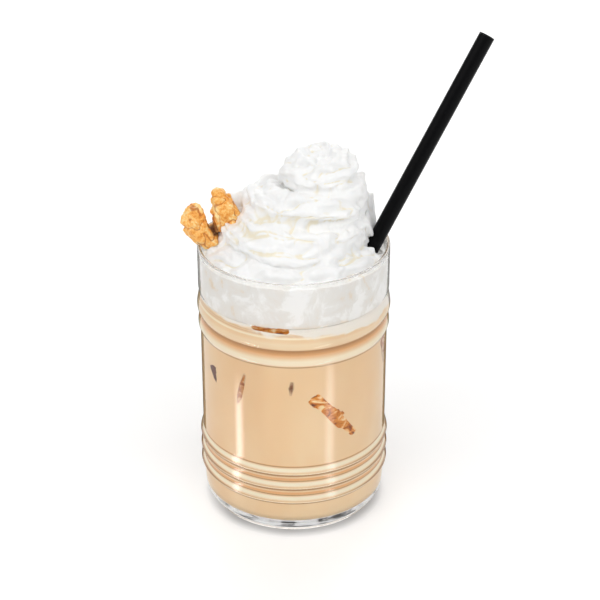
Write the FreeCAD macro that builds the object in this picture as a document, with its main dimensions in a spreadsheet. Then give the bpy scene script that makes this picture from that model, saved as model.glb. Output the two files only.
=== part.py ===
"""A tall ribbed tumbler of iced coffee, with whipped cream, a straw and a walnut half.

Lengths are in millimetres and angles in degrees. +Z is up, and the origin is the centre of
the glass's underside. Each piece takes its sizes from the sheet named Sizes.
"""
import os
from math import asin, ceil, cos, degrees, exp, pi, radians, sin, sqrt

import FreeCAD
import Part
import Sketcher
from FreeCAD import Placement, Rotation, Vector

SIZES = {
    # Glass: outside, inside and rim.
    "glass_height": 120.5,
    "glass_radius": 39.2,
    "glass_wall": 2.4,
    "floor_thickness": 6.4,
    "base_inset": 5.2,
    "heel_inset": 0.8,
    "heel_height": 5.5,
    "heel_round": 2.2,
    "floor_round": 4.0,
    "collar_height": 20.2,
    "collar_step": 0.6,
    "lip_wall": 1.6,
    "lip_round": 0.7,
    # Rings moulded round the glass: each one's foot, height and how far it stands proud.
    "high_ring_below_rim": 29.8,
    "high_ring_height": 9.6,
    "high_ring_proud": 1.2,
    "second_ring_below_rim": 37.2,
    "second_ring_height": 7.4,
    "second_ring_proud": 0.8,
    "low_ring_foot": 17.3,
    "low_ring_height": 4.1,
    "low_ring_proud": 1.1,
    "low_ring_pitch": 7.0,
    "low_ring_count": 3,
    # Coffee and what separates the contents from the glass and from each other.
    "coffee_below_rim": 20.5,
    "fill_gap": 0.15,
    # Straw: a round tube that leans on the rim and stands in the far corner of the floor.
    "straw_radius": 3.25,
    "straw_wall": 0.3,
    "straw_length": 223.0,
    "straw_rim_gap": 0.6,
    "straw_foot_gap": 2.8,
    "straw_floor_gap": 0.3,
    "straw_hole_gap": 0.2,
    "straw_rim_bearing": 1.7,
    "straw_foot_bearing": 218.3,
    # Whipped cream: a fluted rope piped in a coil that narrows and leans as it climbs.
    "cream_below_rim": 2.6,
    "rim_wave": 0.8,
    "coil_turns": 3.3,
    "coil_start": 215.0,
    "coil_lean": 17.0,
    "coil_foot_above_rim": 0.0,
    "coil_top_above_rim": 37.5,
    "coil_from_mouth": 2.2,
    "coil_top_radius": 5.0,
    "coil_narrowing": 0.6,
    "rope_foot_radius": 13.5,
    "rope_top_radius": 9.5,
    "flute_count": 7,
    "flute_depth": 1.0,
    "flute_twist": 0.6,
    "core_radius": 23.0,
    "core_height": 36.0,
    # Walnut half: two lobes joined low down, with a cleft between them and a wrinkled skin.
    "walnut_half_width": 13.5,
    "walnut_half_depth": 9.0,
    "walnut_half_height": 14.0,
    "walnut_cleft": 0.6,
    "walnut_cleft_width": 0.3,
    "walnut_wrinkle": 0.05,
    "walnut_from_rim": 6.3,
    "walnut_back": -2.5,
    "walnut_lean": 24.0,
    "walnut_turn": 12.0,
    "walnut_seat_gap": 0.3,
    "rim_margin": 0.3,
}

# Places on the glass that several pieces share, as sums of the sizes above.
CAVITY = ["glass_radius", "-glass_wall"]
COLLAR = ["glass_radius", "collar_step"]
COLLAR_FOOT = ["glass_height", "-collar_height"]
MOUTH = ["glass_radius", "collar_step", "-lip_wall"]
BASE = ["glass_radius", "-base_inset"]
HEEL = ["glass_radius", "-heel_inset"]
HIGH_RING_FOOT = ["glass_height", "-high_ring_below_rim"]
SECOND_RING_FOOT = ["glass_height", "-second_ring_below_rim"]
COFFEE_TOP = ["glass_height", "-coffee_below_rim"]
COIL_FOOT = [*MOUTH, "-rope_foot_radius", "-coil_from_mouth"]

HEAP_COLUMNS = 72
HEAP_ROWS = 40
WALNUT_COLUMNS = 36
WALNUT_ROWS = 20
POCKET_COLUMNS = 24
POCKET_ROWS = 14

doc = FreeCAD.newDocument("iced_coffee")
sheet = doc.addObject("Spreadsheet::Sheet", "Sizes")
for row, (alias, value) in enumerate(SIZES.items(), start=1):
    sheet.set(f"A{row}", alias)
    sheet.set(f"B{row}", str(value))
    sheet.setAlias(f"B{row}", alias)
doc.recompute()


def size(alias):
    """The value of one cell of the sheet."""
    return float(getattr(sheet, alias))


def number(terms):
    """Adds the cells named in terms; a name that starts with a minus sign is taken off."""
    return sum(-size(term[1:]) if term.startswith("-") else size(term) for term in terms)


def formula(terms):
    """The same sum as an expression, for setExpression."""
    text = "0 mm"
    for term in terms:
        sign = "-" if term.startswith("-") else "+"
        text += f" {sign} Sizes.{term.lstrip('-')} * 1 mm"
    return text


def bind(item, **formulas):
    """Binds properties of an object to expressions on the sheet's cells."""
    for name, text in formulas.items():
        item.setExpression(name, text)
    return item


# Sketches and bodies ---------------------------------------------------------------------


def base_plane(body, role):
    """One of a body's own three origin planes, such as XY_Plane."""
    return next(item for item in body.Origin.OriginFeatures if item.Role == role)


def half_section(body, name, corners):
    """A closed outline on the XZ plane. Each corner is (terms of its radius, terms of its height)."""
    sketch = body.newObject("Sketcher::SketchObject", name)
    sketch.AttachmentSupport = [(base_plane(body, "XZ_Plane"), "")]
    sketch.MapMode = "FlatFace"
    points = [Vector(number(across), number(up), 0) for across, up in corners]
    count = len(points)
    for index in range(count):
        sketch.addGeometry(Part.LineSegment(points[index], points[(index + 1) % count]), False)
    for index in range(count):
        following = (index + 1) % count
        sketch.addConstraint(Sketcher.Constraint("Coincident", index, 2, following, 1))
    for index, (across, up) in enumerate(corners):
        for kind, axis, terms in (("DistanceX", -2, across), ("DistanceY", -1, up)):
            if not terms:
                sketch.addConstraint(Sketcher.Constraint("PointOnObject", index, 1, axis))
                continue
            rule = Sketcher.Constraint(kind, -1, 1, index, 1, number(terms))
            place = sketch.addConstraint(rule)
            sketch.setExpression(f"Constraints[{place}]", formula(terms))
    return sketch


def turned(body, kind, name, sketch):
    """Revolves a half section all the way round the body's upright axis."""
    feature = body.newObject(kind, name)
    feature.Profile = sketch
    feature.ReferenceAxis = (sketch, ["V_Axis"])
    feature.Angle = 360
    return feature


def ring(body, name, foot, height, proud):
    """A round-backed ring: the part of a torus that stands out of the glass's wall."""
    half, stand = f"(Sizes.{height} / 2)", f"Sizes.{proud}"
    curve = f"(({half} ^ 2 + {stand} ^ 2) / (2 * {stand}))"
    feature = body.newObject("PartDesign::AdditiveTorus", name)
    feature.AttachmentSupport = [(base_plane(body, "XY_Plane"), "")]
    feature.MapMode = "FlatFace"
    feature.setExpression("Radius2", f"{curve} * 1 mm")
    feature.setExpression("Radius1", f"(Sizes.glass_radius + {stand} - {curve}) * 1 mm")
    feature.setExpression("AttachmentOffset.Base.z", f"{formula(foot)} + {half} * 1 mm")
    return feature


def circles_at(shape, radius, height):
    """The names of a shape's round edges with this radius at this height."""
    names = []
    for index, edge in enumerate(shape.Edges, start=1):
        curve = edge.Curve
        if not isinstance(curve, Part.Circle):
            continue
        if abs(curve.Radius - radius) < 0.01 and abs(curve.Center.z - height) < 0.01:
            names.append(f"Edge{index}")
    return names


def rounded(body, name, base, edges, alias):
    """A fillet on the named edges, with its radius from the sheet."""
    feature = body.newObject("PartDesign::Fillet", name)
    feature.Base = (base, edges)
    feature.setExpression("Radius", f"Sizes.{alias} * 1 mm")
    doc.recompute()
    return feature


def make_glass():
    """The tumbler: a turned wall, five moulded rings, a cavity, and rounded edges."""
    body = doc.addObject("PartDesign::Body", "Glass")
    body.Label = "glass"
    outside = half_section(body, "GlassOutside", [
        ([], []),
        (BASE, []),
        (HEEL, ["heel_height"]),
        (["glass_radius"], ["low_ring_foot"]),
        (["glass_radius"], COLLAR_FOOT),
        (COLLAR, [*COLLAR_FOOT, "lip_round"]),
        (COLLAR, ["glass_height"]),
        ([], ["glass_height"]),
    ])
    turned(body, "PartDesign::Revolution", "GlassTurned", outside)
    ring(body, "HighRing", HIGH_RING_FOOT, "high_ring_height", "high_ring_proud")
    ring(body, "SecondRing", SECOND_RING_FOOT, "second_ring_height", "second_ring_proud")
    low = ring(body, "LowRing", ["low_ring_foot"], "low_ring_height", "low_ring_proud")
    rows = body.newObject("PartDesign::LinearPattern", "LowRings")
    rows.Originals = [low]
    rows.Direction = (outside, ["V_Axis"])
    rows.setExpression("Length", "Sizes.low_ring_pitch * (Sizes.low_ring_count - 1) * 1 mm")
    rows.setExpression("Occurrences", "Sizes.low_ring_count")
    body.Tip = rows
    cavity = half_section(body, "GlassInside", [
        ([], ["floor_thickness"]),
        (CAVITY, ["floor_thickness"]),
        (CAVITY, COLLAR_FOOT),
        (MOUTH, ["glass_height"]),
        ([], ["glass_height"]),
    ])
    hollow = turned(body, "PartDesign::Groove", "GlassHollow", cavity)
    doc.recompute()
    floor = circles_at(hollow.Shape, number(CAVITY), size("floor_thickness"))
    inside = rounded(body, "FloorRound", hollow, floor, "floor_round")
    heel = circles_at(inside.Shape, number(BASE), 0)
    heel += circles_at(inside.Shape, number(HEEL), size("heel_height"))
    foot = rounded(body, "HeelRound", inside, heel, "heel_round")
    lip = circles_at(foot.Shape, number(MOUTH), size("glass_height"))
    lip += circles_at(foot.Shape, number(COLLAR), size("glass_height"))
    rounded(body, "LipRound", foot, lip, "lip_round")
    return body


# Straw -----------------------------------------------------------------------------------


def on_bearing(reach, bearing, height):
    """A point at a distance from the glass's axis, at a bearing from +X and a height."""
    return Vector(reach * cos(radians(bearing)), reach * sin(radians(bearing)), height)


def straw_line():
    """The middle of the straw's lower end and its direction. The lean settles in a few rounds."""
    thick = size("straw_radius")
    lean = 0.0
    for _ in range(6):
        at_rim = number([*MOUTH, "-straw_rim_gap"]) - thick / cos(lean)
        at_foot = number([*CAVITY, "-straw_foot_gap"]) - thick * cos(lean)
        lift = number(["floor_thickness", "straw_floor_gap"]) + thick * sin(lean)
        top = on_bearing(at_rim, size("straw_rim_bearing"), size("glass_height"))
        foot = on_bearing(at_foot, size("straw_foot_bearing"), lift)
        lean = (top - foot).getAngle(Vector(0, 0, 1))
    return foot, (top - foot).normalize()


def make_straw():
    """The tube, padded from two circles and then leaned."""
    body = doc.addObject("PartDesign::Body", "Straw")
    body.Label = "straw"
    sketch = body.newObject("Sketcher::SketchObject", "StrawSection")
    sketch.AttachmentSupport = [(base_plane(body, "XY_Plane"), "")]
    sketch.MapMode = "FlatFace"
    for index, terms in enumerate((["straw_radius"], ["straw_radius", "-straw_wall"])):
        sketch.addGeometry(Part.Circle(Vector(0, 0, 0), Vector(0, 0, 1), number(terms)), False)
        sketch.addConstraint(Sketcher.Constraint("Coincident", index, 3, -1, 1))
        place = sketch.addConstraint(Sketcher.Constraint("Radius", index, number(terms)))
        sketch.setExpression(f"Constraints[{place}]", formula(terms))
    tube = body.newObject("PartDesign::Pad", "StrawTube")
    tube.Profile = sketch
    tube.setExpression("Length", "Sizes.straw_length * 1 mm")
    foot, direction = straw_line()
    body.Placement = Placement(foot, Rotation(Vector(0, 0, 1), direction))
    return body


def make_straw_hole(straw):
    """The room that the straw and its clearance take in the coffee and in the cream."""
    hole = doc.addObject("Part::Cylinder", "StrawHole")
    return bind(
        hole,
        Radius="(Sizes.straw_radius + Sizes.straw_hole_gap) * 1 mm",
        Height="Sizes.straw_length * 1 mm",
        Placement=f"{straw.Name}.Placement",
    )


# Coffee ----------------------------------------------------------------------------------


def make_coffee(hole):
    """The drink: it fills the glass up to its level, clear of the wall and round the straw."""
    drum = doc.addObject("Part::Cylinder", "CoffeeDrum")
    bind(
        drum,
        Radius=formula([*CAVITY, "-fill_gap"]),
        Height=formula([*COFFEE_TOP, "-floor_thickness", "-fill_gap"]),
    )
    drum.setExpression("Placement.Base.z", formula(["floor_thickness", "fill_gap"]))
    doc.recompute()
    foot = circles_at(
        drum.Shape,
        number([*CAVITY, "-fill_gap"]),
        number(["floor_thickness", "fill_gap"]),
    )
    round_foot = doc.addObject("Part::Fillet", "CoffeeRound")
    round_foot.Base = drum
    curve = number(["floor_round", "-fill_gap"])
    round_foot.Edges = [(int(name.replace("Edge", "")), curve, curve) for name in foot]
    coffee = doc.addObject("Part::Cut", "Coffee")
    coffee.Base = round_foot
    coffee.Tool = hole
    coffee.Label = "coffee"
    return coffee


# Faceted solids --------------------------------------------------------------------------


def solid_of_rings(rings, first, last):
    """A closed solid from rings of points, one above the other, shut by a point at each end."""
    columns = len(rings[0])
    points = [first] + [point for points_round in rings for point in points_round] + [last]
    facets = []
    for column in range(columns):
        beside = (column + 1) % columns
        facets.append((0, 1 + beside, 1 + column))
        for level in range(len(rings) - 1):
            low, high = 1 + level * columns, 1 + (level + 1) * columns
            facets.append((low + column, low + beside, high + beside))
            facets.append((low + column, high + beside, high + column))
        top = 1 + (len(rings) - 1) * columns
        facets.append((top + column, top + beside, len(points) - 1))
    shell = Part.Shape()
    shell.makeShapeFromMesh((points, facets), 0.001)
    solid = Part.makeSolid(shell)
    if solid.Volume < 0:
        solid.reverse()
    return solid


# Whipped cream ---------------------------------------------------------------------------


def between(low, high, share):
    """The value at a share of the way from low to high, held to the two ends."""
    return low + (high - low) * min(max(share, 0.0), 1.0)


def rope_at(turn):
    """Height above the rim, distance from the coil's middle, and thickness, at a turn."""
    share = turn / size("coil_turns")
    up = between(size("coil_foot_above_rim"), size("coil_top_above_rim"), share)
    narrowed = max(share, 0.0) ** size("coil_narrowing")
    out = between(number(COIL_FOOT), size("coil_top_radius"), narrowed)
    thick = between(size("rope_foot_radius"), size("rope_top_radius"), share)
    return up, out, thick


def coil_middle(up):
    """How far the middle of the coil has leaned towards +X at a height above the rim."""
    reach = size("coil_top_above_rim") + size("rope_top_radius")
    return between(0.0, size("coil_lean"), up / reach)


def heap_reach(bearing, up):
    """How far the heap reaches from its middle, at a bearing and a height above the rim."""
    reach = size("core_radius") * sqrt(max(0.0, 1 - max(up, 0.0) / size("core_height")))
    round_share = ((degrees(bearing) - size("coil_start")) % 360) / 360
    for lap in range(-1, ceil(size("coil_turns"))):
        turn = lap + round_share
        if turn > size("coil_turns"):
            continue
        height, out, thick = rope_at(turn)
        across = (up - height) / thick
        if abs(across) >= 1:
            continue
        phase = size("flute_count") * asin(across) + 2 * pi * size("flute_twist") * turn
        bulge = thick * sqrt(1 - across**2) + size("flute_depth") * cos(phase)
        sideways = (coil_middle(height) - coil_middle(up)) * cos(bearing)
        reach = max(reach, out + bulge + sideways)
    return reach


def wall_reach(height):
    """The cream's radius where it touches the glass: the cavity's own, less the gap."""
    share = (height - number(COLLAR_FOOT)) / size("collar_height")
    return between(number(CAVITY), number(MOUTH), share) - size("fill_gap")


def heap_rings():
    """Rings of points up the cream: two on the glass's wall, then the coil to its peak."""
    foot = number([*COFFEE_TOP, "fill_gap"])
    peak = number(["coil_top_above_rim", "rope_top_radius"]) - size("flute_depth")
    bearings = [2 * pi * column / HEAP_COLUMNS for column in range(HEAP_COLUMNS)]
    edges = [
        number(["glass_height", "-cream_below_rim"]) + size("rim_wave") * sin(3 * bearing)
        for bearing in bearings
    ]
    rings = []
    for heights in ([foot] * HEAP_COLUMNS, edges):
        rings.append([
            on_bearing(wall_reach(height), degrees(bearing), height)
            for bearing, height in zip(bearings, heights)
        ])
    for level in range(HEAP_ROWS):
        share = sin(pi / 2 * (level + 1) / (HEAP_ROWS + 1)) ** 1.15
        points = []
        for bearing, edge in zip(bearings, edges):
            height = edge + share * (size("glass_height") + peak - edge)
            up = height - size("glass_height")
            reach = heap_reach(bearing, up)
            if up < 0:
                reach = min(reach, wall_reach(height) - size("fill_gap"))
            point = on_bearing(max(reach, 1.0), degrees(bearing), height)
            points.append(point + Vector(coil_middle(up), 0, 0))
        rings.append(points)
    return rings, foot, size("glass_height") + peak


def make_heap():
    """The cream before anything is pushed into it."""
    rings, foot, peak = heap_rings()
    heap = doc.addObject("Part::Feature", "CreamHeap")
    heap.Shape = solid_of_rings(rings, Vector(0, 0, foot), Vector(size("coil_lean"), 0, peak))
    return heap


def make_cream(heap, hole, pocket):
    """The heap, cut round the straw and round the walnut."""
    holed = doc.addObject("Part::Cut", "CreamHoled")
    holed.Base = heap
    holed.Tool = hole
    cream = doc.addObject("Part::Cut", "Cream")
    cream.Base = holed
    cream.Tool = pocket
    cream.Label = "whipped_cream"
    return cream


# Walnut ----------------------------------------------------------------------------------


def nut_rings(columns, rows, cleft, wrinkle, extra):
    """Rings of a half kernel about its own centre: an egg with a cleft and wrinkled skin."""
    wide = size("walnut_half_width") + extra
    deep = size("walnut_half_depth") + extra
    tall = size("walnut_half_height") + extra
    rings = []
    for row in range(1, rows):
        fall = pi * (1 - row / rows)
        points = []
        for column in range(columns):
            turn = 2 * pi * column / columns
            x, y, z = sin(fall) * cos(turn), sin(fall) * sin(turn), cos(fall)
            split = exp(-((x / size("walnut_cleft_width")) ** 2)) * between(0, 1, z + 0.45)
            folds = sin(9 * z + 3 * sin(5 * x) + 4 * y) * cos(7 * x - 2 * z)
            reach = 1 - cleft * split - wrinkle * (1 + folds)
            points.append(Vector(wide * x, deep * y, tall * z) * reach)
        rings.append(points)
    foot, top = 1 - wrinkle, 1 - cleft - wrinkle
    return rings, Vector(0, 0, -tall * foot), Vector(0, 0, tall * top)


def walnut_placement(points):
    """The kernel leans outwards, its lower end in the cream, and just clears the rim."""
    middle = Vector(-number([*MOUTH, "-walnut_from_rim"]), size("walnut_back"), 0)
    lean = Rotation(Vector(0, 1, 0), -size("walnut_lean"))
    turn = Rotation(Vector(0, 0, 1), size("walnut_turn"))
    placed = Placement(middle, lean.multiply(turn))
    inside = number([*MOUTH, "-rim_margin"])
    moved = [placed.multVec(point) for point in points]
    over_rim = [point.z for point in moved if sqrt(point.x**2 + point.y**2) > inside]
    placed.Base.z = number(["glass_height", "walnut_seat_gap"]) - min(over_rim)
    return placed


def make_walnut():
    """The half kernel, with its cleft and wrinkles."""
    rings, foot, top = nut_rings(
        WALNUT_COLUMNS, WALNUT_ROWS, size("walnut_cleft"), size("walnut_wrinkle"), 0
    )
    walnut = doc.addObject("Part::Feature", "Walnut")
    walnut.Shape = solid_of_rings(rings, foot, top)
    walnut.Placement = walnut_placement([point for ring_of in rings for point in ring_of])
    walnut.Label = "walnut_half"
    return walnut


def make_pocket(walnut):
    """The room that the kernel and its clearance take in the cream."""
    rings, foot, top = nut_rings(POCKET_COLUMNS, POCKET_ROWS, 0, 0, size("walnut_seat_gap"))
    pocket = doc.addObject("Part::Feature", "WalnutPocket")
    pocket.Shape = solid_of_rings(rings, foot, top)
    pocket.Placement = walnut.Placement
    return pocket


# Building and writing --------------------------------------------------------------------


def build():
    """Makes every piece and returns the ones that are written."""
    glass = make_glass()
    straw = make_straw()
    hole = make_straw_hole(straw)
    coffee = make_coffee(hole)
    walnut = make_walnut()
    cream = make_cream(make_heap(), hole, make_pocket(walnut))
    doc.recompute()
    return [glass, coffee, cream, straw, walnut]


def check(pieces):
    """Stops if any object failed or any piece isn't one valid solid."""
    for item in doc.Objects:
        faults = {"Invalid", "Error"} & set(item.State)
        if faults:
            raise RuntimeError(f"{item.Label} is {sorted(faults)}")
    for piece in pieces:
        shape = piece.Shape
        if shape.isNull() or not shape.isValid() or len(shape.Solids) != 1:
            raise RuntimeError(f"{piece.Label} isn't one valid solid")


def write(pieces):
    """Writes each piece to its own file and prints what it measures."""
    os.makedirs("parts", exist_ok=True)
    for piece in pieces:
        piece.Shape.exportStep(os.path.join("parts", f"{piece.Label}.step"))
        box = piece.Shape.BoundBox
        print(
            f"{piece.Label}: {len(piece.Shape.Faces)} faces, {piece.Shape.Volume / 1000:.1f} cm3,"
            f" x {box.XMin:.1f}..{box.XMax:.1f}, y {box.YMin:.1f}..{box.YMax:.1f},"
            f" z {box.ZMin:.1f}..{box.ZMax:.1f}"
        )


pieces = build()
check(pieces)
write(pieces)
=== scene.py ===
# %% [markdown]
# # Iced coffee in a ribbed tumbler
# The imported model is the fixed frame: a glass tumbler, the drink, whipped cream, a straw and half a
# walnut. This notebook keeps the straw as it is and gives it a finish. It makes the glass anew as one
# turned outline, and the soft and grown things too, because a piped swirl and a nut's skin are easier to
# shape from meshes: the drink, the ice in it, the cream and the walnut. All lengths are in metres.

# %% Load the frame
import math

import bmesh
import bpy
from mathutils import Matrix, Vector, noise


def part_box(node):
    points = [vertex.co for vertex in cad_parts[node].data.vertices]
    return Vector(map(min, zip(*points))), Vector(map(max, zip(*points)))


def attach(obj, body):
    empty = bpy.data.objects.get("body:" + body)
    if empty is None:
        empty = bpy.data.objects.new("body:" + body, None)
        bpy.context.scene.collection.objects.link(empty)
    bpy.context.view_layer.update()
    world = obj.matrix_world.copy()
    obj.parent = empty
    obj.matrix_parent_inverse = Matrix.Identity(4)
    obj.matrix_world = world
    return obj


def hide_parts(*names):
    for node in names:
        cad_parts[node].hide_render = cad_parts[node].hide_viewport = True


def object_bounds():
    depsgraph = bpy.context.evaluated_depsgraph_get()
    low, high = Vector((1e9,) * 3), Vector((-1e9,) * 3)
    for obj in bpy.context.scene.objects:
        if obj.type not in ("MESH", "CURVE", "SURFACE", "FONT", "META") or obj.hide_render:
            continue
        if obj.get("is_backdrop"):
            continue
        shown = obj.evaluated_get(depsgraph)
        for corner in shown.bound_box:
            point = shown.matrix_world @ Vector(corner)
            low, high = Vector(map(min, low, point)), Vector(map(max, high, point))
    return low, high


noise.seed_set(1)  # the same folds in every run
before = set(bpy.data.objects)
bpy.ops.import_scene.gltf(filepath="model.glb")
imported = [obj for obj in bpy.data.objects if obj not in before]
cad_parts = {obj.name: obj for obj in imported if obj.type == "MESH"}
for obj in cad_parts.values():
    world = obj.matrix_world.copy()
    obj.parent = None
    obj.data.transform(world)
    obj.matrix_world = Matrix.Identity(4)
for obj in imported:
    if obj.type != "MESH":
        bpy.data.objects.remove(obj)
cad_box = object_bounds()
MM = 0.001
glass_low, glass_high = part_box("glass")
coffee_low, coffee_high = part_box("coffee")
cream_low, cream_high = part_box("whipped_cream")
rim = glass_high.z
print("glass", round((rim - glass_low.z) / MM, 1), "mm high; cream up to", round(cream_high.z / MM, 1), "mm")

# %% [markdown]
# ## A short way to write materials
# A material is a graph of nodes. Written node by node it is long, so two small helpers keep it readable.
# `Value` wraps an output socket and lets numbers be worked out with + - * and /, which add Math nodes.
# `Shader.node` adds any other node: its settings come first, then the values or links of its sockets.


# %% Material helpers
class Value:
    """A number that comes out of a node."""

    def __init__(self, shader, socket):
        self.shader, self.socket = shader, socket

    def maths(self, operation, first, second):
        return self.shader.maths(operation, first, second)

    def __add__(self, other):
        return self.maths("ADD", self, other)

    def __radd__(self, other):
        return self.maths("ADD", other, self)

    def __sub__(self, other):
        return self.maths("SUBTRACT", self, other)

    def __rsub__(self, other):
        return self.maths("SUBTRACT", other, self)

    def __mul__(self, other):
        return self.maths("MULTIPLY", self, other)

    def __rmul__(self, other):
        return self.maths("MULTIPLY", other, self)

    def __truediv__(self, other):
        return self.maths("DIVIDE", self, other)


class Shader:
    """A material's node tree, with one method that adds a node."""

    def __init__(self, name):
        self.material = bpy.data.materials.new(name)
        self.material.use_nodes = True
        self.tree = self.material.node_tree
        self.tree.nodes.clear()
        self.out = self.tree.nodes.new("ShaderNodeOutputMaterial")

    def node(self, kind, settings=None, inputs=None, output=0):
        made = self.tree.nodes.new(kind)
        for name, setting in (settings or {}).items():
            if name == "stops":
                set_stops(made.color_ramp, setting)
            else:
                setattr(made, name, setting)
        for key, given in (inputs or {}).items():
            socket = made.inputs[key]
            if isinstance(given, Value):
                self.tree.links.new(given.socket, socket)
            else:
                socket.default_value = given
        return Value(self, made.outputs[output])

    def finish(self, surface):
        self.tree.links.new(surface.socket, self.out.inputs["Surface"])
        return self.material

    def maths(self, operation, first, second=0.0):
        return self.node("ShaderNodeMath", {"operation": operation}, {0: first, 1: second})

    def place(self):
        return self.node("ShaderNodeTexCoord", output="Object")

    def noise(self, place, scale, detail=3.0, roughness=0.5, distortion=0.0):
        sizes = {"Vector": place, "Scale": scale, "Detail": detail}
        sizes |= {"Roughness": roughness, "Distortion": distortion}
        return self.node("ShaderNodeTexNoise", None, sizes, output="Fac")

    def stretched(self, place, scale, turn=(0.0, 0.0, 0.0), shift=(0.0, 0.0, 0.0)):
        given = {"Vector": place, "Scale": scale, "Rotation": turn, "Location": shift}
        return self.node("ShaderNodeMapping", None, given)

    def ramp(self, factor, *stops):
        return self.node("ShaderNodeValToRGB", {"stops": stops}, {"Fac": factor}, output="Color")

    def level(self, factor, low, high, to_low=0.0, to_high=1.0):
        given = {"Value": factor, "From Min": low, "From Max": high}
        given |= {"To Min": to_low, "To Max": to_high}
        settings = {"interpolation_type": "SMOOTHSTEP", "clamp": True}
        return self.node("ShaderNodeMapRange", settings, given)

    def mix(self, share, low, high):
        given = {"Factor": share, "A": low, "B": high}
        made = self.node("ShaderNodeMix", {"data_type": "RGBA"}, None)
        node = made.socket.node
        for name, socket in (("Factor", 0), ("A", 6), ("B", 7)):
            if isinstance(given[name], Value):
                self.tree.links.new(given[name].socket, node.inputs[socket])
            else:
                node.inputs[socket].default_value = given[name]
        return Value(self, node.outputs[2])

    def bump(self, height, strength, distance):
        given = {"Height": height, "Strength": strength, "Distance": distance}
        return self.node("ShaderNodeBump", None, given)


def set_stops(color_ramp, stops):
    """Sets a ramp's stops, each a place from 0 to 1 and a colour."""
    while len(color_ramp.elements) < len(stops):
        color_ramp.elements.new(1.0)
    for element, (position, colour) in zip(color_ramp.elements, stops):
        element.position = position
        element.color = colour


def colour(red, green, blue):
    """A colour as it looks on a screen, from 0 to 255, in the linear numbers a shader needs."""
    return tuple(((part / 255 + 0.055) / 1.055) ** 2.4 for part in (red, green, blue)) + (1.0,)


BLACK, GREY, WHITE = (0.0, 0.0, 0.0, 1.0), (0.4, 0.4, 0.4, 1.0), (1.0, 1.0, 1.0, 1.0)

# %% [markdown]
# ## Helpers for meshes
# A bmesh is shaped by operators and then written to an object at the origin. `turned` spins half an
# outline round the upright axis, as a potter's wheel does. `melted` makes one skin over shapes that run
# into each other, by a remesh with small cubes, and `relax` smooths the steps that the cubes leave.


# %% Mesh helpers
def to_mesh(shape, name):
    """Writes a bmesh to a mesh and frees it."""
    mesh = bpy.data.meshes.new(name)
    shape.to_mesh(mesh)
    shape.free()
    return mesh


def to_object(shape, name, material=None):
    """Writes a bmesh to a smooth-shaded object at the origin and frees it."""
    mesh = to_mesh(shape, name)
    mesh.shade_smooth()
    piece = bpy.data.objects.new(name, mesh)
    bpy.context.scene.collection.objects.link(piece)
    if material:
        piece.data.materials.append(material)
    return piece


def turned(outline, steps):
    """A bmesh from an outline of (radius, height), spun all the way round."""
    shape = bmesh.new()
    verts = [shape.verts.new((radius, 0, height)) for radius, height in outline]
    edges = [shape.edges.new(pair) for pair in zip(verts, verts[1:])]
    bmesh.ops.spin(
        shape, geom=verts + edges, cent=(0, 0, 0), axis=(0, 0, 1), angle=2 * math.pi,
        steps=steps, use_merge=True,
    )
    bmesh.ops.remove_doubles(shape, verts=shape.verts, dist=0.01 * MM)
    bmesh.ops.recalc_face_normals(shape, faces=shape.faces)
    return shape


def quarter(radius, height, size, start, steps=8):
    """Points of a quarter circle about (radius, height), from an angle in degrees, turning left."""
    angles = [math.radians(start + 90 * step / steps) for step in range(steps + 1)]
    return [(radius + size * math.cos(a), height + size * math.sin(a)) for a in angles]


def baked_mesh(piece, name):
    """A copy of an object's mesh with its modifiers applied. The object is removed."""
    depsgraph = bpy.context.evaluated_depsgraph_get()
    mesh = bpy.data.meshes.new_from_object(piece.evaluated_get(depsgraph))
    mesh.name = name
    bpy.data.objects.remove(piece)
    return mesh


def melted(shape, name, voxel):
    """One skin over everything in a bmesh, from a voxel remesh with cubes of a given size."""
    lumpy = to_object(shape, name)
    remesh = lumpy.modifiers.new("Melt", "REMESH")
    remesh.mode = "VOXEL"
    remesh.voxel_size = voxel
    return baked_mesh(lumpy, name)


def relax(shape, times):
    """Smooths a bmesh a few times."""
    for _ in range(times):
        bmesh.ops.smooth_vert(
            shape, verts=shape.verts, factor=0.5, use_axis_x=True, use_axis_y=True, use_axis_z=True
        )


def facts(piece):
    """Prints how large a piece is."""
    triangles = sum(len(face.vertices) - 2 for face in piece.data.polygons)
    print(piece.name, triangles, "triangles")


# %% [markdown]
# ## Where the wall of the glass is
# The drink and the cream are seen through the wall with no air between, so each reaches a hair's breadth
# into the glass. The wall is straight up to a collar, and from there it opens a little towards the rim.

# %% The wall's inside
REACH_IN = 0.12 * MM
FILL_GAP = 0.15 * MM
collar_foot = 100.3 * MM
cavity_radius = coffee_high.x + FILL_GAP
mouth_radius = 38.2 * MM


def wall_inside(height):
    """The radius that a filling has at a height, reaching into the glass."""
    share = min(max((height - collar_foot) / (rim - collar_foot), 0.0), 1.0)
    return cavity_radius + (mouth_radius - cavity_radius) * share + REACH_IN


print("cavity", round(cavity_radius / MM, 2), "mm in radius")

# %% [markdown]
# ## Clear glass
# Glass bends what lies behind it and mirrors the lamps. The wall, its rings and its thick foot are one
# outline spun round, because a turned mesh has even, smooth faces, and glass shows every flaw in them.
# Each pressed ring has a long upper slope and a short lower one, so it catches the lamp overhead along
# its whole length. Faint waves and smears keep the highlights from being perfect.


# %% The tumbler's outline
LOW_RING_FOOT, LOW_RING_STEP = 17.3, 7.0  # millimetres


def ring_outline(foot, tall, proud, steps=14):
    """Points up one ring: a short round rise, a crest, and a long slope back to the wall."""
    points = []
    for step in range(steps + 1):
        share = step / steps
        if share < 0.3:
            stand = math.sin(math.pi / 2 * share / 0.3) ** 0.8
        else:
            slope = (share - 0.3) / 0.7
            stand = 1 - slope**1.35
        points.append(((39.2 + proud * stand) * MM, (foot + tall * share) * MM))
    return points


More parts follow.
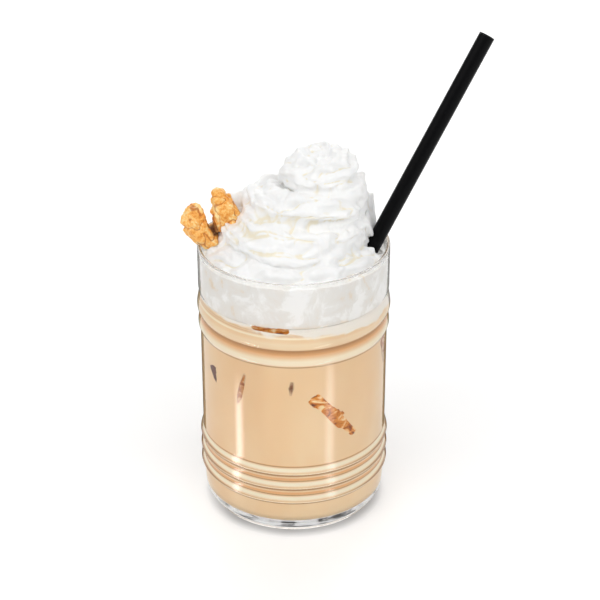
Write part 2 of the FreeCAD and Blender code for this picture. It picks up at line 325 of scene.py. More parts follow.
def tumbler_outline():
    """Half a section of the glass, from the middle of its foot up the outside and down the inside."""
    low_rings = [ring_outline(LOW_RING_FOOT + LOW_RING_STEP * row, 4.1, 1.15) for row in range(3)]
    outer = [(0, 0.9 * MM), (27.5 * MM, 0.8 * MM), (29.5 * MM, 0)]
    outer += [(radius * MM, height * MM) for radius, height in (
        (32.6, 0), (33.8, 0.25), (34.9, 0.9), (36.2, 2.2), (37.3, 3.7), (38.1, 5.2), (38.6, 7.0),
        (38.85, 9.5), (39.05, 13.0), (39.2, 16.9))]
    for ring in low_rings:
        outer += ring
    outer += [(39.2 * MM, height * MM) for height in (36.5, 45, 55, 65, 75, 82.6)]
    outer += ring_outline(83.3, 7.3, 0.9, 18) + ring_outline(90.9, 9.2, 1.25, 20)
    outer += [(radius * MM, height * MM) for radius, height in (
        (39.3, 100.5), (39.7, 101.2), (39.8, 102.2), (39.8, 110), (39.8, 119.4))]
    lip = quarter(39.1 * MM, 119.8 * MM, 0.7 * MM, 0, 5) + quarter(38.9 * MM, 119.8 * MM, 0.7 * MM, 90, 5)
    inner = [(mouth_radius, 119.4 * MM), (37.5 * MM, 110.4 * MM), (cavity_radius, collar_foot)]
    inner += [(cavity_radius, height * MM) for height in (90, 75, 60, 45, 30, 18, 10.6)]
    corner = quarter(32.8 * MM, 10.4 * MM, 4.0 * MM, -90, 8)[::-1]
    return outer + lip + inner + corner + [(0, 6.4 * MM)]


# %% Clear glass
def clear_glass():
    """Glass that bends light, but lets the lamps' light straight through to what is inside."""
    shader = Shader("clear_glass")
    place = shader.place()
    smears = shader.noise(shader.stretched(place, (1.0, 1.0, 0.35)), 90.0, 4.0, 0.6)
    roughness = shader.level(smears, 0.5, 0.75, 0.0, 0.03)
    waves = shader.noise(shader.stretched(place, (1.0, 1.0, 0.25)), 38.0, 1.0)
    normal = shader.bump(waves, 0.15, 0.5 * MM)
    sockets = {"Base Color": (1.0, 1.0, 0.998, 1.0), "Roughness": roughness, "Normal": normal}
    sockets |= {"IOR": 1.5, "Transmission Weight": 1.0}
    glass = shader.node("ShaderNodeBsdfPrincipled", None, sockets)
    clear = shader.node("ShaderNodeBsdfTransparent", None, {"Color": (0.97, 0.97, 0.965, 1.0)})
    for_lamps = shader.node("ShaderNodeLightPath", output="Is Shadow Ray")
    return shader.finish(shader.node("ShaderNodeMixShader", None, {0: for_lamps, 1: glass, 2: clear}))


tumbler = to_object(turned(tumbler_outline(), 180), "ribbed_tumbler", clear_glass())
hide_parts("glass")
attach(tumbler, "root")
facts(tumbler)

# %% [markdown]
# ## Black straw
# A plain extruded plastic tube: nearly black, satin, with a faint fine grain.


# %% Black straw
def black_plastic():
    """Black plastic with a slightly uneven sheen."""
    shader = Shader("black_plastic")
    place = shader.place()
    grain = shader.noise(place, 900.0, 2.0)
    roughness = shader.level(grain, 0.3, 0.7, 0.28, 0.4)
    tone = shader.mix(grain, colour(4, 4, 5), colour(9, 9, 11))
    normal = shader.bump(grain, 0.15, 0.05 * MM)
    sockets = {"Base Color": tone, "Roughness": roughness, "Normal": normal, "Specular IOR Level": 0.08}
    return shader.finish(shader.node("ShaderNodeBsdfPrincipled", None, sockets))


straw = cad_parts["straw"]
straw.data.materials.clear()
straw.data.materials.append(black_plastic())

# %% [markdown]
# ## The drink
# Milky coffee is nearly opaque. It fills the cavity, so it is an outline of the cavity spun round, with
# the same rounded corner at the floor. Each ring of the glass is a lens: it gathers bright and dark lines
# behind it. Glass on a mesh does that only weakly, so ramps on the height paint these lines of light and
# shade on the drink. Its underside is seen only through the thick foot, and it is painted bright with thin
# dark streaks and made to glow a little, as painted light.

# %% Milky coffee
FLOOR_ROUND = 4.0 * MM
cavity_floor = coffee_low.z - FILL_GAP
coffee_level = coffee_high.z


def milky_coffee():
    """Milk and coffee, streaked where unmixed, with painted light and shade behind the rings and at the
    foot.
    """
    shader = Shader("milk_coffee")
    place = shader.place()
    height = shader.node("ShaderNodeSeparateXYZ", None, {0: place}, output="Z")
    across = shader.node("ShaderNodeSeparateXYZ", None, {0: place}, output="X")
    clouds = shader.noise(shader.stretched(place, (1.0, 1.0, 0.6)), 28.0, 3.0, 0.55, 0.6)
    tone = shader.ramp(
        clouds, (0.3, colour(238, 202, 156)), (0.55, colour(241, 210, 167)), (0.8, colour(246, 222, 184))
    )
    # Painted light and shade: light bands, dark lines and deeper tan bands behind the rings stand in for
    # light that the rings bend; they look 2.2 mm lower than the rings do.
    turns = (height - (LOW_RING_FOOT - 2.2) * MM) / (LOW_RING_STEP * MM)
    row = shader.maths("FRACT", turns)
    low_rings = shader.level(height, 14.7 * MM, 15.4 * MM) * shader.level(height, 34.9 * MM, 34.3 * MM)
    painted_ring_light = shader.ramp(row, (0.29, BLACK), (0.38, WHITE), (0.52, WHITE), (0.63, BLACK))
    # Painted shade: thin dark lines along the rings' edges.
    dark = shader.ramp(
        row, (0.07, BLACK), (0.14, WHITE), (0.24, WHITE), (0.3, BLACK), (0.6, BLACK), (0.69, WHITE),
        (0.78, BLACK),
    )
    rise = (height - 80.0 * MM) / (20.0 * MM)
    painted_upper_ring_light = shader.ramp(
        rise, (0.13, BLACK), (0.2, WHITE), (0.24, WHITE), (0.31, BLACK), (0.52, BLACK), (0.63, GREY),
        (0.69, BLACK), (0.73, BLACK), (0.76, WHITE), (0.8, BLACK),
    )
    painted_upper_ring_shade = shader.ramp(
        rise, (0.08, BLACK), (0.11, WHITE), (0.15, BLACK), (0.36, BLACK), (0.475, WHITE), (0.53, BLACK),
        (0.79, BLACK), (0.82, GREY), (0.84, BLACK), (0.86, GREY), (0.89, BLACK),
    )
    painted_ring_valley_shade = shader.ramp(row, (0.66, BLACK), (0.8, WHITE), (0.94, WHITE), (1.0, BLACK))
    painted_upper_valley_shade = shader.ramp(rise, (0.3, BLACK), (0.38, WHITE), (0.45, WHITE), (0.52, BLACK))
    tone = shader.mix(painted_ring_valley_shade * low_rings * 0.7 + painted_upper_valley_shade * 0.8, tone, colour(230, 168, 104))
    tone = shader.mix(painted_ring_light * low_rings * 0.95 + painted_upper_ring_light * 0.8, tone, colour(255, 246, 222))
    tone = shader.mix(dark * low_rings * 0.7 + painted_upper_ring_shade * 0.7, tone, colour(150, 92, 30))
    # Cream that has sunk into the top of the drink.
    foam = shader.noise(shader.stretched(place, (1.0, 1.0, 1.7)), 75.0, 4.0, 0.6, 0.8)
    sunk = height + foam * 9 * MM + across * 0.07
    tone = shader.mix(shader.level(sunk, 99.6 * MM, 101.8 * MM), tone, colour(244, 238, 228))
    # Painted light: the thick foot mirrors the drink's underside, so it is painted bright with thin dark
    # rings and glows a little.
    out = shader.node("ShaderNodeVectorMath", {"operation": "LENGTH"}, {0: place}, output="Value")
    streaks = shader.noise(shader.stretched(place, (1.0, 0.16, 1.0)), 170.0, 2.0, 0.5, 0.6)
    rings = shader.noise(out, 240.0, 2.0) * 0.6 + streaks * 0.4
    foot = shader.ramp(rings, (0.43, colour(30, 27, 25)), (0.49, colour(226, 226, 226)), (0.6, WHITE))
    low = shader.level(height, cavity_floor + 1.0 * MM, cavity_floor)
    tone = shader.mix(low, tone, foot)
    glow = shader.mix(low, BLACK, foot)
    sockets = {"Base Color": tone, "Roughness": 0.3, "Specular IOR Level": 0.2, "Subsurface Weight": 0.1}
    # The painted bright underside glows a little.
    sockets |= {"Emission Color": glow, "Emission Strength": 0.5}
    sockets |= {"Subsurface Radius": (1.0, 0.6, 0.35), "Subsurface Scale": 2 * MM}
    return shader.finish(shader.node("ShaderNodeBsdfPrincipled", None, sockets))


def make_coffee():
    """The drink, from its floor up to its level."""
    radius = wall_inside(0)
    low = cavity_floor - REACH_IN
    corner = quarter(radius - FLOOR_ROUND, low + FLOOR_ROUND, FLOOR_ROUND, -90)
    rows = 24
    wall = [(radius, low + FLOOR_ROUND + (coffee_level - low - FLOOR_ROUND) * row / rows)
            for row in range(1, rows + 1)]
    outline = [(0, low)] + corner + wall + [(0, coffee_level)]
    return to_object(turned(outline, 128), "iced_coffee", milky_coffee())


coffee = make_coffee()
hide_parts("coffee")
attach(coffee, "root")
facts(coffee)

# %% [markdown]
# ## Ice
# Ice cubes float in the drink, and only where an edge or a corner presses against the glass do they
# show, as dark slivers. Each cube is a box with worn edges. It is turned so that one edge or corner
# looks outwards, pushed against the wall, and flattened where it touches it. How hard it presses is kept
# as an attribute, so that its colour fades into the drink's at the edge of the touching patch.


# %% Ice
def ice_skin():
    """Ice seen through a film of coffee: dark and amber inside, fading into the drink at its edge."""
    shader = Shader("ice")
    place = shader.place()
    press = shader.node("ShaderNodeAttribute", {"attribute_name": "press"}, output="Fac")
    depths = shader.node("ShaderNodeAttribute", {"attribute_name": "darkness"}, output="Fac")
    depth = shader.noise(shader.stretched(place, (1.0, 1.0, 1.4)), 230.0, 3.0, 0.6, 0.6)
    tone = shader.ramp(
        depth, (0.34, colour(96, 40, 2)), (0.43, colour(192, 104, 12)), (0.53, colour(228, 150, 54)),
        (0.63, colour(252, 226, 178)),
    )
    tone = shader.mix(depths, tone, colour(92, 32, 6))
    tone = shader.mix(shader.level(press, 0.0, 0.25), colour(222, 190, 152), tone)
    normal = shader.bump(depth, 0.3, 0.3 * MM)
    sockets = {"Base Color": tone, "Roughness": 0.12, "Normal": normal, "Specular IOR Level": 0.05}
    return shader.finish(shader.node("ShaderNodeBsdfPrincipled", None, sockets))


def ice_cube(sides, lean, pitch, bearing, height, poke, darkness):
    """A worn cube with one edge turned outwards at a bearing, pushed so far into the wall."""
    shape = bmesh.new()
    bmesh.ops.create_cube(shape, size=1.0)
    bmesh.ops.scale(shape, vec=Vector(sides) * MM, verts=shape.verts)
    bmesh.ops.bevel(
        shape, geom=shape.edges[:], offset=1.5 * MM, offset_type="OFFSET", affect="EDGES",
        segments=3, profile=0.5, material=-1,
    )
    bmesh.ops.subdivide_edges(shape, edges=shape.edges[:], cuts=8, use_grid_fill=True)
    for vert in shape.verts:
        bulge = vert.co.normalized() * max(sides) * 0.62 * MM
        vert.co = vert.co.lerp(bulge, 0.2)
        vert.co += vert.co.normalized() * noise.noise(vert.co * 110 + Vector((bearing, 0, 0))) * 0.5 * MM
        vert.co += vert.co.normalized() * noise.noise(vert.co * 400 + Vector((bearing, 0, 0))) * 0.2 * MM
    turns = Matrix.Rotation(math.radians(bearing), 3, "Z")
    turns @= Matrix.Rotation(math.radians(lean), 3, "X")
    turns @= Matrix.Rotation(math.radians(pitch), 3, "Y")
    turns @= Matrix.Rotation(math.radians(45), 3, "Z")
    bmesh.ops.rotate(shape, cent=(0, 0, 0), matrix=turns, verts=shape.verts)
    outwards = Matrix.Rotation(math.radians(bearing), 3, "Z") @ Vector((1, 0, 0))
    furthest = max(vert.co.dot(outwards) for vert in shape.verts)
    middle = outwards * (cavity_radius + poke * MM - furthest)
    bmesh.ops.translate(shape, vec=middle + Vector((0, 0, height * MM)), verts=shape.verts)
    press = shape.verts.layers.float.new("press")
    depths = shape.verts.layers.float.new("darkness")
    limit = wall_inside(0) + 0.03 * MM
    for vert in shape.verts:
        out = math.hypot(vert.co.x, vert.co.y)
        vert[press] = max(0.0, (out - limit) / MM)
        vert[depths] = darkness
        if out > limit:
            vert.co.x *= limit / out
            vert.co.y *= limit / out
    return to_mesh(shape, "ice_cube")


def joined(meshes):
    """One bmesh from several meshes, which are removed."""
    shape = bmesh.new()
    for mesh in meshes:
        shape.from_mesh(mesh)
        bpy.data.meshes.remove(mesh)
    return shape


# Each cube: its sides, the lean of its outer edge in the wall, its pitch, its bearing and height,
# how far its edge is pushed in, and how dark it looks. Lengths are in millimetres, angles in degrees.
ice_cubes = [
    ((17, 15, 29), 38, 3, -64.5, 56.5, 2.0, 0.0),
    ((16, 14, 22), -13, 2, -126.3, 67.0, 0.85, 0.35),
    ((13, 14, 16), 20, 20, -148.0, 67.6, 1.9, 0.97),
    ((14, 14, 26), -6, 1, -91.8, 71.0, 0.4, 0.9),
    ((38, 14, 15), 88, 1, -105.5, 89.8, 1.2, 0.3),
    ((15, 14, 15), 8, 6, -16.0, 76.0, 2.0, 0.4),
    ((17, 15, 20), 20, 5, 60.0, 56.0, 2.2, 0.1),
    ((15, 16, 18), -30, 8, 128.0, 72.0, 2.0, 0.4),
]
ice = to_object(joined([ice_cube(*cube) for cube in ice_cubes]), "ice", ice_skin())
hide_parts("coffee")
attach(ice, "root")
facts(ice)

# %% [markdown]
# ## Whipped cream
# The cream was piped from a star nozzle: a ridged rope laid in a coil, each turn higher and narrower,
# with its end curled over at the top. A curve makes such a rope: a star is its cross-section, and each
# point of the path has its own thickness and twist. Under the coil a spun shape fills the glass.

# %% The rope of cream
# Turn of the coil, height, distance from the coil's middle, thickness, and how far the middle lies to
# the right. Lengths are in millimetres.
COIL = [
    (-0.1, 117.0, 21.0, 9.0, 0.0),
    (0.5, 121.0, 23.0, 11.5, 0.0),
    (1.0, 125.5, 21.0, 11.5, 0.5),
    (1.5, 131.0, 17.5, 11.0, 2.0),
    (2.0, 137.5, 15.0, 10.5, 4.5),
    (2.5, 144.5, 10.5, 10.0, 10.0),
    (3.0, 151.0, 7.5, 9.5, 12.5),
    (3.4, 153.0, 6.5, 9.0, 12.0),
    (3.7, 154.6, 6.0, 7.5, 10.5),
    (3.95, 156.0, 4.5, 5.5, 8.5),
]
COIL_START = 215.0  # degrees
ROPE_TWIST = 2 * math.pi * 2.6


def along_coil(turn):
    """The coil's height, distance out, thickness and middle at a turn, smoothly between its rows."""
    for low, high in zip(COIL, COIL[1:]):
        if turn <= high[0]:
            share = (turn - low[0]) / (high[0] - low[0])
            return [(a + (b - a) * share) * MM for a, b in zip(low[1:], high[1:])]
    return [value * MM for value in COIL[-1][1:]]


def rope_mesh(points, name, star=7, ridge=0.2, twist=0.0):
    """A ridged rope through points of (place, thickness), with its ridges twisted along it."""
    section = bpy.data.curves.new(name + "_section", "CURVE")
    outline = section.splines.new("POLY")
    count = star * 6
    outline.points.add(count - 1)
    for index, point in enumerate(outline.points):
        angle = 2 * math.pi * index / count
        reach = 1 - ridge * (0.5 - 0.5 * math.cos(star * angle)) ** 1.5
        point.co = (reach * math.cos(angle), reach * math.sin(angle), 0, 1)
    outline.use_cyclic_u = True
    star_shape = bpy.data.objects.new(name + "_section", section)
    path = bpy.data.curves.new(name, "CURVE")
    path.dimensions = "3D"
    path.bevel_mode = "OBJECT"
    path.bevel_object = star_shape
    path.use_fill_caps = True
    line = path.splines.new("POLY")
    line.points.add(len(points) - 1)
    for index, (point, (place, thick)) in enumerate(zip(line.points, points)):
        point.co = (*place, 1)
        point.radius = thick
        point.tilt = twist * index / len(points)
    rope = bpy.data.objects.new(name, path)
    bpy.context.scene.collection.objects.link(rope)
    mesh = baked_mesh(rope, name)
    bpy.data.objects.remove(star_shape)
    bpy.data.curves.remove(section)
    bpy.data.curves.remove(path)
    return mesh


def coil_points():
    """The rope's path up the coil, with its thickness at each point."""
    points = []
    steps = 260
    for step in range(steps + 1):
        turn = COIL[0][0] + (COIL[-1][0] - COIL[0][0]) * step / steps
        up, out, thick, middle = along_coil(turn)
        bearing = math.radians(COIL_START + 360 * turn)
        points.append((Vector((middle + out * math.cos(bearing), out * math.sin(bearing), up)), thick))
    return points


rope = rope_mesh(coil_points(), "cream_rope", twist=ROPE_TWIST)
print("rope", len(rope.polygons), "faces")

# %% [markdown]
# ### Filling, lumps and folds
# The rope, the filling under it and a few soft lumps are joined and remeshed with small cubes, which
# melts them into one skin. Noise then shapes the skin. The noise's absolute value gives round bulges
# with sharp creases between them, which is how aerated cream folds. It is stretched along the coil.


# %% Cream skin
def lump(place, sizes):
    """A soft lump: a ball scaled to its three radii, in millimetres."""
    shape = bmesh.new()
    bmesh.ops.create_icosphere(shape, subdivisions=4, radius=MM)
    bmesh.ops.scale(shape, vec=Vector(sizes), verts=shape.verts)
    bmesh.ops.translate(shape, vec=Vector(place) * MM, verts=shape.verts)
    return to_mesh(shape, "cream_lump")


def filling():
    """The cream inside the glass, up to a low dome."""
    low = cream_low.z
    outline = [(0, low), (wall_inside(low) - 0.3 * MM, low)]
    outline += [(wall_inside(h * MM) - 0.1 * MM, h * MM) for h in (103, 108, 113, 117.5)]
    outline += [(34.5 * MM, 121.5 * MM), (30 * MM, 124 * MM), (22 * MM, 128 * MM), (0, 133 * MM)]
    return to_mesh(turned(outline, 96), "cream_filling")


lumps = [
    ((3, 2, 134), (16, 16, 12)),
    ((12, 3, 150), (11, 10, 11)),
    ((18, 0, 152), (7, 7, 6)),
    ((6, 0, 154), (7.0, 7, 6.0)),
    ((4, -1, 152.5), (9, 8, 8.5)),
    ((-8, -1, 140.5), (7.5, 7, 5.5)),
    ((31, 6, 127), (5, 6, 7)),
    ((29, 10, 133), (5, 5, 6)),
    ((-22, 8, 133), (5, 5, 6)),
    ((-26, 4, 127), (5, 5, 6)),
]
skin = melted(joined([filling(), rope] + [lump(*each) for each in lumps]), "cream", 0.6 * MM)
print("cream skin", len(skin.vertices), "vertices")


# %% Folds in the cream
SWIRL_OUT, SWIRL_CLIMB, SWIRL_LEAN = 20, 12.5, 17  # millimetres
SMOOTH_BELOW, FOLDED_ABOVE = 116.0, 121.0  # millimetres


def swirl(place):
    """A place seen along the coil: round it, out from it and up it, in millimetres."""
    middle = SWIRL_LEAN * MM * min(max((place.z - rim) / (47 * MM), 0.0), 1.0)
    across, deep = place.x - middle, place.y
    out = math.hypot(across, deep)
    bearing = math.atan2(deep, across)
    round_it = bearing * SWIRL_OUT
    climb = place.z / MM - bearing / (2 * math.pi) * SWIRL_CLIMB
    return Vector((round_it, out / MM, climb))


def fold_depth(place):
    """How far the skin moves at a place, in millimetres, and how deep in a crease it lies."""
    seen = place / MM
    wide = noise.noise(seen * 0.065) * 1.3
    coiled = swirl(place)
    warp = noise.noise_vector(seen * 0.09) * 0.9
    # The bearing jumps at the back, so the folds there come from the plain place instead.
    seam = SWIRL_OUT * math.pi
    near_seam = min(abs(coiled.x - seam), abs(coiled.x + seam)) / 9
    blend_seam = min(near_seam, 1.0)
    along = Vector((coiled.x * 0.045, coiled.y * 0.12, coiled.z * 0.16)) + warp * 0.5
    folds = abs(noise.noise(along * 1.3)) * blend_seam
    folds += abs(noise.noise(seen * 0.14 + warp)) * (1 - blend_seam)
    small = abs(noise.noise(seen * 0.28 + warp * 1.4))
    fine = noise.noise(seen * 1.1)
    move = wide + folds * 4.8 + small * 1.5 + fine * 0.08 - 1.6
    crease = max(0.0, 1 - folds * 4.5) * 0.7 + max(0.0, 1 - small * 5) * 0.3
    return move, crease


def fold(mesh):
    """Moves each point of the cream's skin in or out, above the level where the glass holds it smooth."""
    shape = joined([mesh])
    relax(shape, 6)
    shape.normal_update()
    creases = shape.verts.layers.float.new("crease")
    moves = []
    for vert in shape.verts:
        inside = (vert.co.z / MM - SMOOTH_BELOW) / (FOLDED_ABOVE - SMOOTH_BELOW)
        inside = min(max(inside, 0.0), 1.0)
        move, crease = fold_depth(vert.co)
        moves.append(vert.normal * move * MM * inside)
        vert[creases] = crease
    for vert, move in zip(shape.verts, moves):
        vert.co += move
    relax(shape, 2)
    return shape


# %% Cream against the glass and round the straw
straw_ends = [Vector(), Vector()]
heights = [vert.co.z for vert in straw.data.vertices]
for end, chosen in enumerate((min(heights), max(heights))):
    near = [vert.co for vert in straw.data.vertices if abs(vert.co.z - chosen) < 4 * MM]
    straw_ends[end] = sum(near, Vector()) / len(near)
straw_way = (straw_ends[1] - straw_ends[0]).normalized()
STRAW_RADIUS = 3.25 * MM
print("straw from and to", [[round(along / MM, 1) for along in end] for end in straw_ends])


def fit_cream(shape):
    """Presses the cream against the wall, keeps it inside the rim and clear of the straw."""
    for vert in shape.verts:
        out = math.hypot(vert.co.x, vert.co.y)
        limit = wall_inside(vert.co.z)
        height = vert.co.z / MM
        if height < 118.2 and out > limit - 1.1 * MM:
            vert.co.x *= limit / out
            vert.co.y *= limit / out
        elif height < 121.5 and out > limit - 1.0 * MM:
            vert.co.x *= (limit - 1.0 * MM) / out
            vert.co.y *= (limit - 1.0 * MM) / out
        from_end = vert.co - straw_ends[0]
        beside = from_end - straw_way * from_end.dot(straw_way)
        dip = min(max(1.6 - beside.length / (7 * MM), 0.0), 1.0)
        if height > 114:
            vert.co.z -= (height - 114) * 0.75 * dip * MM
        gap = STRAW_RADIUS + 0.1 * MM
        if beside.length < gap and height > 104:
            vert.co += beside.normalized() * (gap - beside.length)


shape = fold(skin)
fit_cream(shape)
print("cream folded and fitted")


# %% Cream's finish
def whipped_cream():
    """White cream with warm painted shade in its creases, smeared against the glass and stained by coffee
    low down.
    """
    shader = Shader("whipped_cream")
    place = shader.place()
    height = shader.node("ShaderNodeSeparateXYZ", None, {0: place}, output="Z")
    crease = shader.node("ShaderNodeAttribute", {"attribute_name": "crease"}, output="Fac")
    grain = shader.noise(place, 900.0, 3.0, 0.6)
    clouds = shader.noise(place, 70.0, 3.0)
    # Painted shade: the creases are darker and warmer.
    painted_crease_shade = shader.level(crease + clouds * 0.6, 0.8, 1.2)
    tone = shader.mix(painted_crease_shade, colour(244, 244, 243), colour(238, 230, 208))
    smears = shader.noise(shader.stretched(place, (1.0, 1.0, 0.8)), 95.0, 5.0, 0.65, 0.5)
    pressed = shader.ramp(
        smears, (0.33, colour(232, 216, 192)), (0.42, colour(236, 232, 226)), (0.52, colour(238, 236, 232)),
        (0.6, colour(252, 251, 249)),
    )
    tone = shader.mix(shader.level(height, 120.0 * MM, 117.5 * MM), tone, pressed)
    foam = shader.noise(shader.stretched(place, (1.0, 1.0, 1.7)), 75.0, 4.0, 0.6, 0.8)
    stained = height + foam * 9 * MM
    tone = shader.mix(shader.level(stained, 105.8 * MM, 102.5 * MM), tone, colour(240, 214, 178))
    normal = shader.bump(grain, 0.25, 0.15 * MM)
    sockets = {"Base Color": tone, "Roughness": 0.42, "Normal": normal}
    sockets |= {"Subsurface Weight": 0.2, "Subsurface Radius": (1.0, 0.9, 0.8)}
    sockets |= {"Subsurface Scale": 1.0 * MM}
    return shader.finish(shader.node("ShaderNodeBsdfPrincipled", None, sockets))


cream = to_object(shape, "whipped_cream_swirl", whipped_cream())
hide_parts("whipped_cream")
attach(cream, "root")
facts(cream)

# %% [markdown]
# ## Walnut half
# Half a kernel has two curved lobes joined by a bridge, and its skin is wrinkled like a brain. Each lobe
# is a rope along a bent path with a plain round section. The ropes are melted into one skin, and the
# same creased noise, much finer, makes the wrinkles.

# %% Walnut
LEFT_LOBE = [
    ((-40.2, -4.0, 138.6), 2.4), ((-40.4, -4.2, 135.8), 4.2), ((-40.6, -4.4, 132.2), 4.6),
    ((-39.4, -4.6, 128.4), 4.7), ((-36.6, -4.8, 125.0), 4.4), ((-33.6, -5.0, 122.4), 3.6),
    ((-31.2, -5.0, 120.8), 2.2),
]
RIGHT_LOBE = [
    ((-33.2, -0.5, 140.2), 2.4), ((-31.2, -0.8, 140.0), 4.0), ((-28.8, -1.2, 137.6), 4.8),
    ((-27.2, -1.8, 134.2), 5.2), ((-25.4, -2.4, 131.0), 4.8), ((-23.0, -2.6, 129.2), 3.6),
    ((-20.8, -2.6, 129.4), 2.2),
]
INNER_LEG = [((-30.6, -1.0, 135.0), 2.8), ((-30.2, -2.0, 130.5), 3.0), ((-29.4, -3.0, 126.5), 2.8)]
BRIDGE = [((-36.0, -1.5, 125.0), 2.6), ((-32.5, 0.5, 124.6), 3.0), ((-28.0, -0.5, 126.0), 3.0)]


def smooth_path(points, steps=8):
    """More points between the given ones, on a smooth line through them all."""
    path = []
    padded = [points[0]] + points + [points[-1]]
    for a, b, c, d in zip(padded, padded[1:], padded[2:], padded[3:]):
        for step in range(steps):
            t = step / steps
            weights = (
                -0.5 * t + t**2 - 0.5 * t**3, 1 - 2.5 * t**2 + 1.5 * t**3,
                0.5 * t + 2 * t**2 - 1.5 * t**3, -0.5 * t**2 + 0.5 * t**3,
            )
            near = [Vector((*place, thick)) for place, thick in (a, b, c, d)]
            total = sum((row * weight for row, weight in zip(near, weights)), Vector((0, 0, 0, 0)))
            path.append((total.xyz * MM, total.w * MM))
    path.append((Vector(points[-1][0]) * MM, points[-1][1] * MM))
    return path


def walnut_skin():
    """Golden and speckled, with painted shade in the wrinkles and a painted shadow in the gap between the
    lobes.
    """
    shader = Shader("walnut_kernel")
    place = shader.place()
    crease = shader.node("ShaderNodeAttribute", {"attribute_name": "crease"}, output="Fac")
    patches = shader.noise(place, 160.0, 4.0, 0.6, 0.5)
    specks = shader.noise(place, 900.0, 3.0, 0.6)
    light = shader.ramp(
        patches + (specks - 0.5) * 0.8, (0.28, colour(226, 136, 34)), (0.48, colour(250, 184, 92)),
        (0.68, colour(255, 228, 164)),
    )
    # Painted shade: brown in the wrinkles.
    deep = shader.level(crease, 0.2, 0.9)
    tone = shader.mix(deep * 0.75, light, colour(178, 90, 18))
    # Painted shadow: dark in the gap between the lobes.
    reach = shader.node(
        "ShaderNodeVectorMath", {"operation": "DISTANCE"}, {0: place, 1: Vector((-32.4, -2.5, 127.5)) * MM},
        output="Value",
    )
    tone = shader.mix(shader.level(reach, 4.5 * MM, 2.0 * MM) * 0.85, tone, colour(92, 36, 8))
    roughness = shader.level(specks, 0.3, 0.7, 0.42, 0.62)
    normal = shader.bump(specks, 0.5, 0.25 * MM)
    sockets = {"Base Color": tone, "Roughness": roughness, "Normal": normal}
    return shader.finish(shader.node("ShaderNodeBsdfPrincipled", None, sockets))


def make_walnut():
    """The lobes' ropes in one skin, wrinkled by creased noise."""
    ropes = [rope_mesh(smooth_path(lobe), "walnut_lobe", star=5, ridge=0.1, twist=1.0)
             for lobe in (LEFT_LOBE, RIGHT_LOBE, INNER_LEG, BRIDGE)]
    shape = joined([melted(joined(ropes), "walnut", 0.3 * MM)])
    relax(shape, 6)
    shape.normal_update()
    creases = shape.verts.layers.float.new("crease")
    moves = []
    for vert in shape.verts:
        seen = vert.co / MM
        warp = noise.noise_vector(seen * 0.15) * 0.7
        folds = abs(noise.noise(seen * 0.17 + warp))
        small = abs(noise.noise(seen * 0.55 + warp))
        fine = noise.noise(seen * 1.6)
        vert[creases] = max(0.0, 1 - folds * 9) + 0.3 * max(0.0, 1 - small * 8)
        moves.append(vert.normal * (folds * 2.4 + small * 0.7 + fine * 0.25 - 0.5) * MM)
    for vert, move in zip(shape.verts, moves):
        vert.co += move
    relax(shape, 2)
    return to_object(shape, "walnut_kernel_half", walnut_skin())


walnut = make_walnut()
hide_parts("walnut_half")
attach(walnut, "root")
facts(walnut)

# %% [markdown]
# ## Floor, lights and camera
# The glass stands on a plain white floor that fills the view. A wide softbox hangs over its front, with
# weaker ones at the sides, above and behind to soften the shadows. Glass shows mostly what it mirrors, so
# curved cards stand close round it, as in a product studio: two black ones behind it draw its outline, and
# two lit ones in front put soft bright lines down its wall. Only the glass can see the cards.


# %% White floor
def white_floor():
    """White, a little lit from itself, with a painted shadow where the foot of the glass stands."""
    shader = Shader("white_floor")
    speckle = shader.noise(shader.place(), 30.0, 2.0)
    tone = shader.mix(speckle, colour(250, 250, 250), colour(252, 252, 252))
    out = shader.node("ShaderNodeVectorMath", {"operation": "LENGTH"}, {0: shader.place()}, output="Value")
    # Painted shadow round the foot of the glass.
    tone = shader.mix(shader.level(out, 41 * MM, 34 * MM) * 0.6, tone, colour(120, 116, 114))
    sockets = {"Base Color": tone, "Roughness": 0.6, "Emission Color": tone, "Emission Strength": 0.12}
    return shader.finish(shader.node("ShaderNodeBsdfPrincipled", None, sockets))


ground = bmesh.new()
bmesh.ops.create_grid(ground, x_segments=4, y_segments=4, size=4.0)
bmesh.ops.translate(ground, vec=(0, 0, -0.2 * MM), verts=ground.verts)
floor = to_object(ground, "floor", white_floor())
floor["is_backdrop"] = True


# %% Softboxes
LIT_HEIGHT = 70 * MM


def softbox(name, bearing, rise, distance, sides, power):
    """A rectangular lamp at a bearing and rise from the glass, looking at the glass."""
    data = bpy.data.lights.new(name, "AREA")
    data.shape = "RECTANGLE"
    data.size, data.size_y = sides
    data.energy = power
    lamp = bpy.data.objects.new(name, data)
    flat = distance * math.cos(math.radians(rise))
    lamp.location = (
        flat * math.cos(math.radians(bearing)), flat * math.sin(math.radians(bearing)),
        LIT_HEIGHT + distance * math.sin(math.radians(rise)),
    )
    away = lamp.location - Vector((0, 0, LIT_HEIGHT))
    lamp.rotation_euler = away.to_track_quat("Z", "Y").to_euler()
    lamp.visible_camera = False
    bpy.context.scene.collection.objects.link(lamp)
    return lamp


softbox("overhead", -95, 50, 1.3, (2.6, 0.8), 11.6)
softbox("right", -15, 35, 1.3, (0.8, 0.9), 2.2)
softbox("left", -165, 35, 1.3, (0.8, 0.9), 1.8)
softbox("top", 110, 84, 1.2, (0.9, 0.9), 1.2)
softbox("back", 90, 24, 1.3, (1.6, 0.7), 6.5)


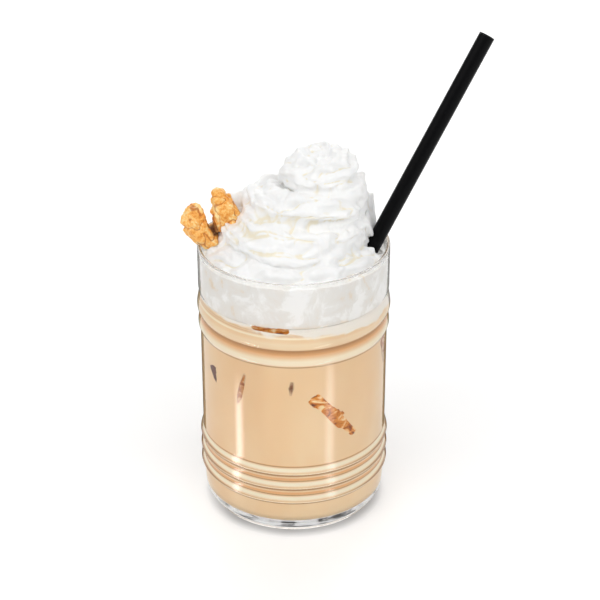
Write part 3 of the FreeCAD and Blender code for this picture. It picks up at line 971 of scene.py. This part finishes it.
# %% Cards round the glass
def card(name, bearing, spread, distance, low, high, material):
    """A curved upright card round the glass that only shows in the glass itself."""
    shape = bmesh.new()
    turn = Matrix.Rotation(math.radians(bearing - spread / 2), 3, "Z")
    verts = [shape.verts.new(turn @ Vector((distance, 0, height)) * MM) for height in (low, high)]
    edge = shape.edges.new(verts)
    bmesh.ops.spin(
        shape, geom=verts + [edge], cent=(0, 0, 0), axis=(0, 0, 1), angle=math.radians(spread), steps=16
    )
    made = to_object(shape, name, material)
    made.visible_camera = False
    made.visible_diffuse = False
    made.visible_shadow = False
    made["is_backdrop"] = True
    return made


def black_card():
    """Nearly black, for a dark outline."""
    shader = Shader("black_card")
    tone = shader.mix(shader.noise(shader.place(), 20.0), colour(5, 5, 5), colour(12, 12, 12))
    return shader.finish(shader.node("ShaderNodeBsdfDiffuse", None, {"Color": tone}))


GLINT_OUT = 60 * MM


def lit_card(bearing, spread, low, high, strength):
    """A glow that fades towards the card's edges, so that its reflection is soft."""
    shader = Shader("lit_card")
    turned_place = shader.stretched(shader.place(), (1.0, 1.0, 1.0), (0, 0, math.radians(-bearing)))
    aside = shader.node("ShaderNodeSeparateXYZ", None, {0: turned_place}, output="Y")
    across = shader.maths("ABSOLUTE", aside)
    height = shader.node("ShaderNodeSeparateXYZ", None, {0: shader.place()}, output="Z")
    half = GLINT_OUT * math.radians(spread / 2)
    glow = shader.level(across, half, 0.0) * shader.level(height, low * MM, (low + 6) * MM)
    glow = glow * shader.level(height, high * MM, (high - 25) * MM)
    light = shader.node("ShaderNodeEmission", None, {"Color": WHITE, "Strength": strength})
    clear = shader.node("ShaderNodeBsdfTransparent", None, {"Color": WHITE})
    return shader.finish(shader.node("ShaderNodeMixShader", None, {0: glow, 1: clear, 2: light}))


for name, bearing, spread in (("right_flag", 41, 58), ("left_flag", 140, 60)):
    card(name, bearing, spread, 50, 0, 124, black_card())
for name, bearing, spread, high, strength in (
    ("left_glint", -139, 13, 66, 8.0), ("right_glint", -59.5, 13, 84, 4.5),
):
    shine = lit_card(bearing, spread, 0, high, strength)
    glint = card(name, bearing, spread, GLINT_OUT / MM, 0, high, shine)
    glint.visible_transmission = False

# %% Soft light from all round
world = bpy.data.worlds.new("studio")
world.use_nodes = True
background = world.node_tree.nodes["Background"]
background.inputs["Color"].default_value = (1.0, 1.0, 1.0, 1.0)
background.inputs["Strength"].default_value = 0.38
bpy.context.scene.world = world
lamps = [piece.name for piece in bpy.context.scene.objects if piece.type == "LIGHT"]
print("lamps", lamps, "and the studio's fill")

# %% [markdown]
# ## Camera, and the end
# The camera stands in front of the glass and looks down on it at about 28 degrees.

# %% Camera
lens = bpy.data.cameras.new("camera")
lens.sensor_width = 36.0
lens.lens = 105.28
camera = bpy.data.objects.new("camera", lens)
camera.location = (0.00263, -0.650, 0.4377)
camera.rotation_euler = (math.radians(62.07), 0, 0)
bpy.context.scene.collection.objects.link(camera)
bpy.context.scene.camera = camera
bpy.context.scene.view_settings.view_transform = "Standard"
print("camera", round(camera.location.length, 3), "m from the foot of the glass")

# %% Sizes, and the end
seen_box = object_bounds()
boxes = {"cad_box": cad_box, "visual_box": seen_box}
for name, (low, high) in boxes.items():
    print(name, [round(c / MM, 1) for c in low], [round(c / MM, 1) for c in high])
